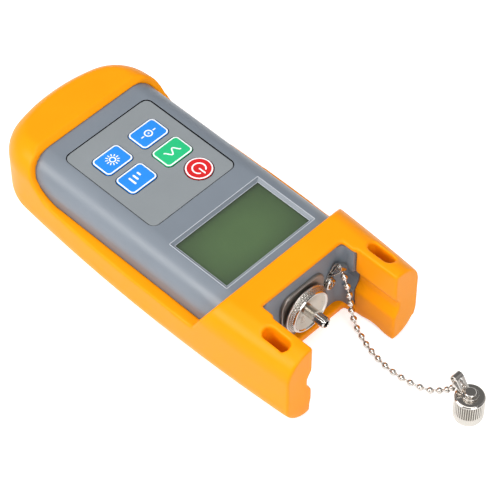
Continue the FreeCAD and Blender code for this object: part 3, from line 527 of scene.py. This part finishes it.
def key_pad(node, colour, corner, crown):
    low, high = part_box(node)
    centre = (low + high) / 2
    half_x, half_y = (high.x - low.x) / 2 / mm, (high.y - low.y) / 2 / mm
    rings = pad_rings(high.z / mm, min(half_x, half_y) - 0.05, crown)
    bm = bmesh.new()
    loops = []
    for inset, z, _ in rings:
        outline = rounded_outline(half_x - inset, half_y - inset, max(0.02, corner - inset))
        loops.append([bm.verts.new((centre.x + x * mm, centre.y + y * mm, z * mm))
                      for x, y in outline])
    for a, b, ring in zip(loops, loops[1:], rings[1:]):
        for face in skin_between(bm, a, b):
            face.material_index = 1 if ring[2] else 0
    bm.faces.new(loops[-1])
    bm.faces.new(list(reversed(loops[0])))
    bmesh.ops.recalc_face_normals(bm, faces=bm.faces)
    name = node + "_pad"
    settle(new_piece(name, mesh_of(bm, name), [colour, "print_white"]), node)


# %% The five keys
square_corner, round_corner, domed, dished = 1.8, 4.94, 0.04, -0.10
for node, colour, corner, crown in (
        ("key_reference", "key_blue", square_corner, domed),
        ("key_backlight", "key_blue", square_corner, domed),
        ("key_decibel", "key_blue", square_corner, domed),
        ("key_wavelength", "key_green", square_corner, domed),
        ("key_power", "key_red", round_corner, dished)):
    key_pad(node, colour, corner, crown)

# %% [markdown]
# ## Printed signs
# The signs are plain strokes: a power mark, a lamp with rays, a wave, rising bars and a target.
# A stroke is a flat ribbon along a line of points, a few hundredths of a millimetre thick, so it is
# real geometry that stays crisp from close up.

# %% Strokes
ink = 0.03


def ribbon(bm, outline, z):
    top = [bm.verts.new((x * mm, y * mm, (z + ink) * mm)) for x, y in outline]
    low = [bm.verts.new((x * mm, y * mm, z * mm)) for x, y in outline]
    bm.faces.new(top)
    bm.faces.new(list(reversed(low)))
    for i in range(len(top)):
        j = (i + 1) % len(top)
        bm.faces.new((top[i], low[i], low[j], top[j]))


def stroke(bm, points, width, z, closed=False):
    # A ribbon along points in mm, with round ends unless it closes on itself.
    half = width / 2
    count = len(points)
    left, right = [], []
    for i, p in enumerate(points):
        a = points[(i - 1) % count] if closed or i > 0 else p
        b = points[(i + 1) % count] if closed or i < count - 1 else p
        way = Vector((b[0] - a[0], b[1] - a[1])).normalized()
        side = Vector((-way.y, way.x)) * half
        left.append((p[0] + side.x, p[1] + side.y))
        right.append((p[0] - side.x, p[1] - side.y))
    if closed:
        for i in range(count):
            j = (i + 1) % count
            ribbon(bm, [left[i], left[j], right[j], right[i]], z)
        return
    ends = []
    for at, step in ((0, -1), (count - 1, 1)):
        a, b = points[at], points[at - step]
        way = math.atan2(a[1] - b[1], a[0] - b[0])
        ends.append([(a[0] + half * math.cos(way + t), a[1] + half * math.sin(way + t))
                     for t in [math.radians(d) for d in range(-75, 76, 15)]])
    ribbon(bm, left + ends[1][::-1] + right[::-1] + ends[0][::-1], z)


def arc(radius, start, end, steps=32):
    angles = [math.radians(start + (end - start) * i / steps) for i in range(steps + 1)]
    return [(radius * math.cos(a), radius * math.sin(a)) for a in angles]


def sign(node, name, draw, sink):
    low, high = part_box(node)
    centre = (low + high) / 2 / mm
    bm = bmesh.new()
    draw(bm, high.z / mm - sink)
    bmesh.ops.translate(bm, verts=bm.verts, vec=(centre.x * mm, centre.y * mm, 0))
    bmesh.ops.recalc_face_normals(bm, faces=bm.faces)
    attend(new_piece(name, mesh_of(bm, name, smooth=False), ["print_white"]), node)


# %% Signs on the keys
def power_sign(bm, z, line=0.55):
    stroke(bm, arc(2.35, 125, 415, 48), line, z)
    stroke(bm, [(0, 0.2), (0, 2.9)], line, z)


def wave_sign(bm, z, height=1.15, half_wave=1.9):
    stroke(bm, [(x, height * math.sin(x * math.pi / half_wave))
                for x in [i * 0.1 for i in range(-28, 29)]], 0.5, z)


def bars_sign(bm, z, foot=-1.4, gap=1.9):
    for i, tall in enumerate((1.1, 2.0, 2.9)):
        x = -gap + gap * i
        stroke(bm, [(x, foot), (x, foot + tall)], 0.75, z)


def target_sign(bm, z, line=0.5):
    stroke(bm, arc(1.35, 0, 360, 40)[:-1], line, z, closed=True)
    for side in (-1, 1):
        stroke(bm, [(side * 2.3, 0), (side * 3.1, 0)], line, z)
    stroke(bm, arc(0.2, 0, 330, 11), 0.4, z)


def lamp_sign(bm, z, rays=12, ray_start=1.75, ray_end=2.4):
    stroke(bm, arc(1.05, 0, 360, 40)[:-1], 0.45, z, closed=True)
    for i in range(rays):
        a = math.radians(360 / rays * i)
        stroke(bm, [(r * math.cos(a), r * math.sin(a)) for r in (ray_start, ray_end)], 0.4, z)


# sink: how far the print lies under the top of the key's box
sign("key_power", "power_sign", power_sign, sink=0.085)
sign("key_wavelength", "wave_sign", wave_sign, sink=0.02)
sign("key_decibel", "bars_sign", bars_sign, sink=0.02)
sign("key_reference", "target_sign", target_sign, sink=0.02)
sign("key_backlight", "lamp_sign", lamp_sign, sink=0.02)

# %% [markdown]
# ## Film, groove and edge lines
# The keypad film lies in a shallow recess with a narrow groove round it, and the moulded edges of
# the recess and of the display's bezel are slightly raised and rounded, so they catch the light;
# the bezel's lines are also painted lighter than the case, as a painted highlight.
# The CAD case has the recess itself, so its faces only take a near-black finish: painted shade that
# darkens the groove round the film. Each raised edge is a low roof-shaped line swept round a
# rounded rectangle. A bevel
# on the case would catch the light too, but it would have no height of its own.

# %% Film and painted groove shade
recess_gap = 0.25
film_low, film_high = (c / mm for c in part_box("keypad_sheet"))
face_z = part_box("front_case")[1].z / mm

settle(soft_copy("keypad_sheet", "keypad_film", voxel=0.22, rounds=2, swell=-0.10, share=0.25),
       "keypad_sheet")
case_mesh = frame["nodes"]["front_case"].data
# painted shade: the recess's walls and floor round the film are painted near-black
case_mesh.materials.append(materials["groove_painted_shade"])
dark = 0
for face in case_mesh.polygons:
    x, y, z = face.center / mm
    beside = max(abs(x) - film_high.x, film_low.y - y, y - film_high.y)
    if beside < recess_gap + 0.05 and film_low.z - 0.02 < z < face_z - 0.02:
        face.material_index = 1
        dark += 1
print("dark faces in the recess", dark)


# %% Raised edge lines
def edge_line(name, low, high, out, corner, z, width, height, finish):
    # Round the box from low to high, let out by out; all in mm. Its foot is sunk into the case.
    bm = bmesh.new()
    middle = (low + high) / 2
    half_x, half_y = (high.x - low.x) / 2 + out, (high.y - low.y) / 2 + out
    loops = []
    for k in range(5):
        wider = width * (k / 4 - 0.5)
        rise = height * math.sin(math.pi * k / 4) - 0.03
        ring = rounded_outline(half_x + wider, half_y + wider, max(0.05, corner + wider))
        loops.append([bm.verts.new(((middle.x + x) * mm, (middle.y + y) * mm, (z + rise) * mm))
                      for x, y in ring])
    for a, b in zip(loops, loops[1:] + loops[:1]):
        skin_between(bm, a, b)
    bmesh.ops.recalc_face_normals(bm, faces=bm.faces)
    attend(new_piece(name, mesh_of(bm, name), [finish]), "front_case")


pane_low, pane_high = (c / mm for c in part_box("display_window"))
seat_margin, seat_drop = 1.2, 0.95
edge_line("recess_edge", film_low, film_high, recess_gap + 0.12, 3.1, face_z, 0.24, 0.07,
          "case_plastic")
# painted highlight: the bezel's edge lines are painted lighter than the case
edge_line("bezel_outer", pane_low, pane_high, 0.0, 0.3, face_z, 0.40, 0.09, "edge_painted_highlight")
edge_line("bezel_inner", pane_low, pane_high, -seat_margin, 0.1, face_z - seat_drop, 0.26, 0.10,
          "edge_painted_highlight")

# %% [markdown]
# ## Ball chain
# A ball chain is hollow beads on short links. Geometry Nodes suit it: the chain's run is a line of
# vertices, one bead goes on each vertex, turned along the run, and one link on each edge,
# stretched to its length. The same tree makes all three stretches, one for each body. The places
# come from the CAD solids: every point of a ball points away from its middle, so going back along
# the normal by the bead's radius finds that middle.

# %% Where the beads are
bead_radius, link_radius, mouth_radius, mouth_lip = 1.2, 0.36, 0.62, 0.11


def bead_middles(node):
    mesh = frame["nodes"][node].data
    groups = []
    for corner, loop in zip(mesh.corner_normals, mesh.loops):
        middle = mesh.vertices[loop.vertex_index].co / mm - corner.vector * bead_radius
        for group in groups:
            if (group[0] - middle).length < 0.15:
                group[1] += 1
                break
        else:
            groups.append([middle, 1])
    most = max(count for place, count in groups)
    return sorted((place for place, count in groups if count > most * 0.4), key=lambda p: p.y)


chains = ("chain_drop", "chain_run", "chain_tail")
middles = {node: bead_middles(node) for node in chains}
print("beads", {node: len(places) for node, places in middles.items()})


# %% Node helpers
def node_group(name, inputs):
    group = bpy.data.node_groups.new(name, "GeometryNodeTree")
    group.interface.new_socket("Geometry", in_out="INPUT", socket_type="NodeSocketGeometry")
    group.interface.new_socket("Geometry", in_out="OUTPUT", socket_type="NodeSocketGeometry")
    for label, kind, value in inputs:
        socket = group.interface.new_socket(label, in_out="INPUT", socket_type=kind)
        socket.default_value = value
    return group, group.nodes.new("NodeGroupInput"), group.nodes.new("NodeGroupOutput")


def add(group, kind, **settings):
    node = group.nodes.new(kind)
    for name, value in settings.items():
        setattr(node, name, value)
    return node


def grow(obj, group, values, node):
    # Puts the tree on the object, sets its named inputs, and keeps the result as plain mesh.
    modifier = obj.modifiers.new("grow", "NODES")
    modifier.node_group = group
    for item in group.interface.items_tree:
        if item.in_out == "INPUT" and item.name in values:
            modifier[item.identifier] = values[item.name]
    apply_modifiers(obj)
    settle(obj, node)


# %% One bead
def bead_shape(group, start):
    # A ball with a rolled mouth at each pole, where the links go in.
    wire = group.links.new
    ball = add(group, "GeometryNodeMeshUVSphere")
    ball.inputs["Segments"].default_value = 32
    ball.inputs["Rings"].default_value = 20
    wire(start.outputs["Bead radius"], ball.inputs["Radius"])
    ring = add(group, "GeometryNodeCurvePrimitiveCircle")
    ring.inputs["Resolution"].default_value = 24
    wire(start.outputs["Mouth radius"], ring.inputs["Radius"])
    roll = add(group, "GeometryNodeCurvePrimitiveCircle")
    roll.inputs["Resolution"].default_value = 8
    roll.inputs["Radius"].default_value = mouth_lip * mm
    mouth = add(group, "GeometryNodeCurveToMesh")
    wire(ring.outputs["Curve"], mouth.inputs["Curve"])
    wire(roll.outputs["Curve"], mouth.inputs["Profile Curve"])
    up = math.sqrt(bead_radius ** 2 - mouth_radius ** 2) * mm
    bead = add(group, "GeometryNodeJoinGeometry")
    wire(ball.outputs["Mesh"], bead.inputs[0])
    for side in (-1, 1):
        move = add(group, "GeometryNodeTransform")
        move.inputs["Translation"].default_value = (0, 0, side * up)
        wire(mouth.outputs["Mesh"], move.inputs["Geometry"])
        wire(move.outputs["Geometry"], bead.inputs[0])
    return bead.outputs[0]


# %% Beads on the vertices
def beads_along(group, start):
    # One bead on each vertex from the first that is asked for, turned along the run.
    wire = group.links.new
    bead = bead_shape(group, start)
    run = add(group, "GeometryNodeMeshToCurve")
    wire(start.outputs["Geometry"], run.inputs["Mesh"])
    places = add(group, "GeometryNodeCurveToPoints", mode="EVALUATED")
    wire(run.outputs["Curve"], places.inputs["Curve"])
    index = add(group, "GeometryNodeInputIndex")
    shown = add(group, "FunctionNodeCompare", data_type="INT", operation="GREATER_EQUAL")
    wire(index.outputs[0], shown.inputs[2])
    wire(start.outputs["First bead"], shown.inputs[3])
    beads = add(group, "GeometryNodeInstanceOnPoints")
    wire(places.outputs["Points"], beads.inputs["Points"])
    wire(bead, beads.inputs["Instance"])
    wire(shown.outputs[0], beads.inputs["Selection"])
    wire(places.outputs["Rotation"], beads.inputs["Rotation"])
    return beads.outputs["Instances"]


# %% Links on the edges
def links_along(group, start):
    # A rod 1 m long stands on each edge's middle, and is scaled to the edge's length.
    wire = group.links.new
    ends = add(group, "GeometryNodeInputMeshEdgeVertices")
    along = add(group, "ShaderNodeVectorMath", operation="SUBTRACT")
    wire(ends.outputs["Position 2"], along.inputs[0])
    wire(ends.outputs["Position 1"], along.inputs[1])
    keep = add(group, "GeometryNodeCaptureAttribute", domain="EDGE")
    keep.capture_items.new("VECTOR", "Along")
    wire(start.outputs["Geometry"], keep.inputs["Geometry"])
    wire(along.outputs["Vector"], keep.inputs["Along"])
    edges = add(group, "GeometryNodeMeshToPoints", mode="EDGES")
    wire(keep.outputs["Geometry"], edges.inputs["Mesh"])
    rod = add(group, "GeometryNodeMeshCylinder")
    rod.inputs["Vertices"].default_value = 14
    rod.inputs["Depth"].default_value = 1.0
    wire(start.outputs["Link radius"], rod.inputs["Radius"])
    turn = add(group, "FunctionNodeAlignRotationToVector", axis="Z")
    wire(keep.outputs["Along"], turn.inputs["Vector"])
    length = add(group, "ShaderNodeVectorMath", operation="LENGTH")
    wire(keep.outputs["Along"], length.inputs[0])
    size = add(group, "ShaderNodeCombineXYZ")
    size.inputs["X"].default_value = size.inputs["Y"].default_value = 1.0
    wire(length.outputs["Value"], size.inputs["Z"])
    links = add(group, "GeometryNodeInstanceOnPoints")
    wire(edges.outputs["Points"], links.inputs["Points"])
    wire(rod.outputs["Mesh"], links.inputs["Instance"])
    wire(turn.outputs["Rotation"], links.inputs["Rotation"])
    wire(size.outputs["Vector"], links.inputs["Scale"])
    return links.outputs["Instances"]


# %% Chain tree
def chain_tree():
    group, start, end = node_group("ball_chain", [
        ("Bead radius", "NodeSocketFloat", bead_radius * mm),
        ("Mouth radius", "NodeSocketFloat", mouth_radius * mm),
        ("Link radius", "NodeSocketFloat", link_radius * mm),
        ("First bead", "NodeSocketInt", 0)])
    wire = group.links.new
    both = add(group, "GeometryNodeJoinGeometry")
    wire(beads_along(group, start), both.inputs[0])
    wire(links_along(group, start), both.inputs[0])
    real = add(group, "GeometryNodeRealizeInstances")
    wire(both.outputs[0], real.inputs[0])
    smooth = add(group, "GeometryNodeSetShadeSmooth")
    wire(real.outputs[0], smooth.inputs[0])
    paint = add(group, "GeometryNodeSetMaterial")
    paint.inputs["Material"].default_value = materials["nickel_bright"]
    wire(smooth.outputs[0], paint.inputs["Geometry"])
    wire(paint.outputs[0], end.inputs[0])
    return group


# %% [markdown]
# A stretch starts at the last bead of the one before it, so that the link between them is there,
# but it leaves that bead out, because the stretch before has made it. The joint turns about it.

# %% Three stretches of chain
chain_group = chain_tree()
before = None
for node in chains:
    places = middles[node]
    line = ([before] if before else []) + places
    mesh = bpy.data.meshes.new(node + "_beads")
    mesh.from_pydata([p * mm for p in line], [(i, i + 1) for i in range(len(line) - 1)], [])
    piece = new_piece(node + "_beads", mesh, [])
    grow(piece, chain_group, {"First bead": 1 if before else 0}, node)
    before = places[-1]

# %% [markdown]
# ## Turned metal
# The knurled ring and the cap are turned on a lathe, and their grips are rolled or milled in. A
# bump texture would leave their outlines smooth. Here a lathe means rings of points round an axis:
# a profile gives radius and height, and a relief function takes a little off the radius by angle,
# which cuts real grooves.

# %% Lathe
crisp_above = math.radians(32)


def lathe(name, profile, columns, place, finishes, deep):
    # profile: (radius, along, relief or None, finish index of the band that follows) in mm.
    # Where the relief goes below deep, the last finish is used.
    bm = bmesh.new()
    rows = []
    for radius, along, relief, _ in profile:
        row = []
        for i in range(columns):
            angle = 2 * math.pi * i / columns
            r = radius - (relief(angle, along) if relief else 0.0)
            row.append(bm.verts.new(place(r * math.cos(angle), r * math.sin(angle), along)))
        rows.append(row)
    for row, after, (_, along, relief, finish) in zip(rows, rows[1:] + rows[:1], profile):
        for i, face in enumerate(skin_between(bm, row, after)):
            cut = relief(2 * math.pi * (i + 0.5) / columns, along) if relief else 0.0
            # painted shade: faces cut deeper than deep take the last finish, a darker nickel
            face.material_index = len(finishes) - 1 if cut > deep else finish
    bmesh.ops.remove_doubles(bm, verts=bm.verts, dist=0.0001 * mm)
    bmesh.ops.recalc_face_normals(bm, faces=bm.faces)
    bm.normal_update()
    for edge in bm.edges:
        edge.smooth = edge.calc_face_angle(0.0) < crisp_above
    return new_piece(name, mesh_of(bm, name), finishes)


def rounded(points, radius, steps=4):
    # Replaces each corner marked True with an arc. points: (radius, along, round it)
    out = []
    count = len(points)
    for i, (r, a, soft) in enumerate(points):
        if not soft:
            out.append((r, a))
            continue
        here = Vector((r, a))
        to = [(Vector(points[(i + k) % count][:2]) - here) for k in (-1, 1)]
        cut = [min(radius, v.length * 0.45) for v in to]
        a0, a1 = [here + v.normalized() * c for v, c in zip(to, cut)]
        for k in range(steps + 1):
            t = k / steps
            out.append(tuple(a0 * (1 - t) ** 2 + here * 2 * t * (1 - t) + a1 * t ** 2))
    return out


# %% [markdown]
# ### Knurled ring
# The ring's grip is a diamond knurl: two families of fine grooves that cross. Each family is a
# saw-tooth of the angle plus or minus the distance along the ring, and the deeper of the two wins.
# The grooves fade out at both ends of the cone, as a rolled knurl does.

# %% Knurl
ring_low, ring_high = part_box("adapter_ring")
port_z = (ring_low.z + ring_high.z) / 2 / mm
ring_front, ring_outer = ring_high.y / mm, (ring_high.x - ring_low.x) / 2 / mm
ring_back, ring_start, ring_nose = ring_front - 3.05, ring_front - 2.15, ring_outer - 1.45
knurls, knurl_depth, knurl_turns, knurl_fade, grip_rows = 48, 0.20, 2.2, 0.15, 18


def groove(phase):
    part = phase - math.floor(phase)
    return 1 - abs(2 * part - 1)


def diamond(angle, along):
    turn = angle / (2 * math.pi) * knurls
    slant = (along - ring_start) * knurl_turns
    fade = min(1.0, (along - ring_start) / knurl_fade, (ring_front - 0.42 - along) / knurl_fade)
    low = min(groove(turn + slant), groove(turn - slant))
    return knurl_depth * max(0.0, fade) * (1 - low) ** 1.5


print("ring", round(2 * ring_outer, 2), "mm across,", knurls, "knurls")

# %% Knurled ring
tube_r, cup_r, spigot_r, spigot_back, cup_depth = 2.10, 3.05, 4.0, 43.4, 1.55


def ring_profile():
    # Inside the cup, round the spigot, up the back, over the grip and down the dished face.
    cup_front = spigot_back + cup_depth
    body = rounded([(tube_r, cup_front, False), (cup_r, cup_front, False),
                    (cup_r, spigot_back, False), (spigot_r, spigot_back, True),
                    (spigot_r, ring_back, False), (ring_outer - 0.45, ring_back, True),
                    (ring_outer, ring_back + 0.35, True), (ring_outer, ring_start - 0.12, True),
                    (ring_outer - 0.22, ring_start, False)], 0.15)
    rows = [(r, a, None, 1) for r, a in body]
    for i in range(grip_rows + 1):
        along = ring_start + (ring_front - 0.40 - ring_start) * i / grip_rows
        radius = ring_outer - 0.15 + (ring_nose + 0.30 - ring_outer + 0.15) * i / grip_rows
        rows.append((radius, along, diamond, 0))
    nose = rounded([(ring_nose + 0.26, ring_front - 0.36, False), (ring_nose, ring_front, True),
                    (ring_nose - 0.35, ring_front, True),
                    (ring_nose - 0.75, ring_front - 0.45, True),
                    (tube_r + 0.75, ring_front - 2.15, True), (tube_r, ring_front - 2.2, False)],
                   0.14)
    return rows + [(r, a, None, 1 if a > ring_front - 0.4 else 2) for r, a in nose]


ring = lathe("adapter_ring_knurled", ring_profile(), 720,
             lambda u, v, along: (u * mm, along * mm, (port_z + v) * mm),
             ["nickel_satin", "nickel_bright", "nickel_face", "nickel_painted_groove_shade"],
             knurl_depth * 0.62)
settle(ring, "adapter_ring")

# %% [markdown]
# ### Fluted cap
# The cap has fine straight flutes that start under its bright top edge and run out before the
# smooth round base. A cosine of the angle is already a row of flutes, so the same lathe cuts them.

# %% Fluted cap
cap_low, cap_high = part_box("dust_cap")
cap_middle = (cap_low + cap_high) / 2 / mm
cap_radius, cap_top = (cap_high.x - cap_low.x) / 2 / mm, cap_high.z / mm
flutes, flute_depth, flute_foot, flute_low, flute_drop = 40, 0.34, 3.3, 3.4, 0.75
base_radius, bore, shank, web_thick, row_step = 2.4, 2.17, 0.9, 1.8, 0.25


def fluted(angle, height):
    wave = 0.5 - 0.5 * math.cos(angle * flutes)
    fade = min(1.0, (height - flute_low) / 1.0, (cap_top - flute_drop - height) / 0.3)
    return flute_depth * max(0.0, fade) * wave ** 0.7


def cap_profile():
    # Up the bore from the stud's hole, out round the base, up the flutes and over the top edge.
    web, flat = cap_top - web_thick, cap_radius - base_radius
    rows = [(shank, web, None, 0), (bore, web, None, 0), (bore, 0.0, None, 0),
            (flat, 0.0, None, 0)]
    for i in range(1, 10):
        a = math.radians(10 * i)
        rows.append((flat + base_radius * math.sin(a), base_radius * (1 - math.cos(a)), None, 0))
    flute_rows = int((cap_top - flute_drop - flute_foot) / row_step) + 1
    heights = [flute_foot + row_step * i for i in range(flute_rows)]
    rows += [(cap_radius, h, fluted, 0) for h in heights]
    edge = rounded([(cap_radius, cap_top - 0.72, False), (cap_radius, cap_top - 0.45, True),
                    (cap_radius - 0.5, cap_top, True), (cap_radius - 0.9, cap_top, False)], 0.2)
    rows += [(r, h, None, 1) for r, h in edge]
    return rows + [(shank, cap_top, None, 0)]


cap = lathe("dust_cap_fluted", cap_profile(), 440,
            lambda u, v, h: ((cap_middle.x + u) * mm, (cap_middle.y + v) * mm, h * mm),
            ["nickel_satin", "nickel_bright", "nickel_painted_groove_shade"], flute_depth * 0.70)
settle(cap, "dust_cap")

# %% [markdown]
# ## Small worn metal
# The folded straps, the square flange and the screw get the same soft copy as the boot, with a
# much finer voxel, so that a narrow bright line runs along every edge.

# %% Straps, flange, screw, stud
for node, voxel, rounds, share in (("anchor_strap", 0.08, 4, 0.5), ("cap_strap", 0.08, 4, 0.5),
                                   ("anchor_screw", 0.08, 2, 0.6), ("cap_stud", 0.08, 2, 0.8),
                                   ("port_flange", 0.20, 2, 0.4)):
    settle(soft_copy(node, node + "_worn", voxel, rounds, share=share), node)
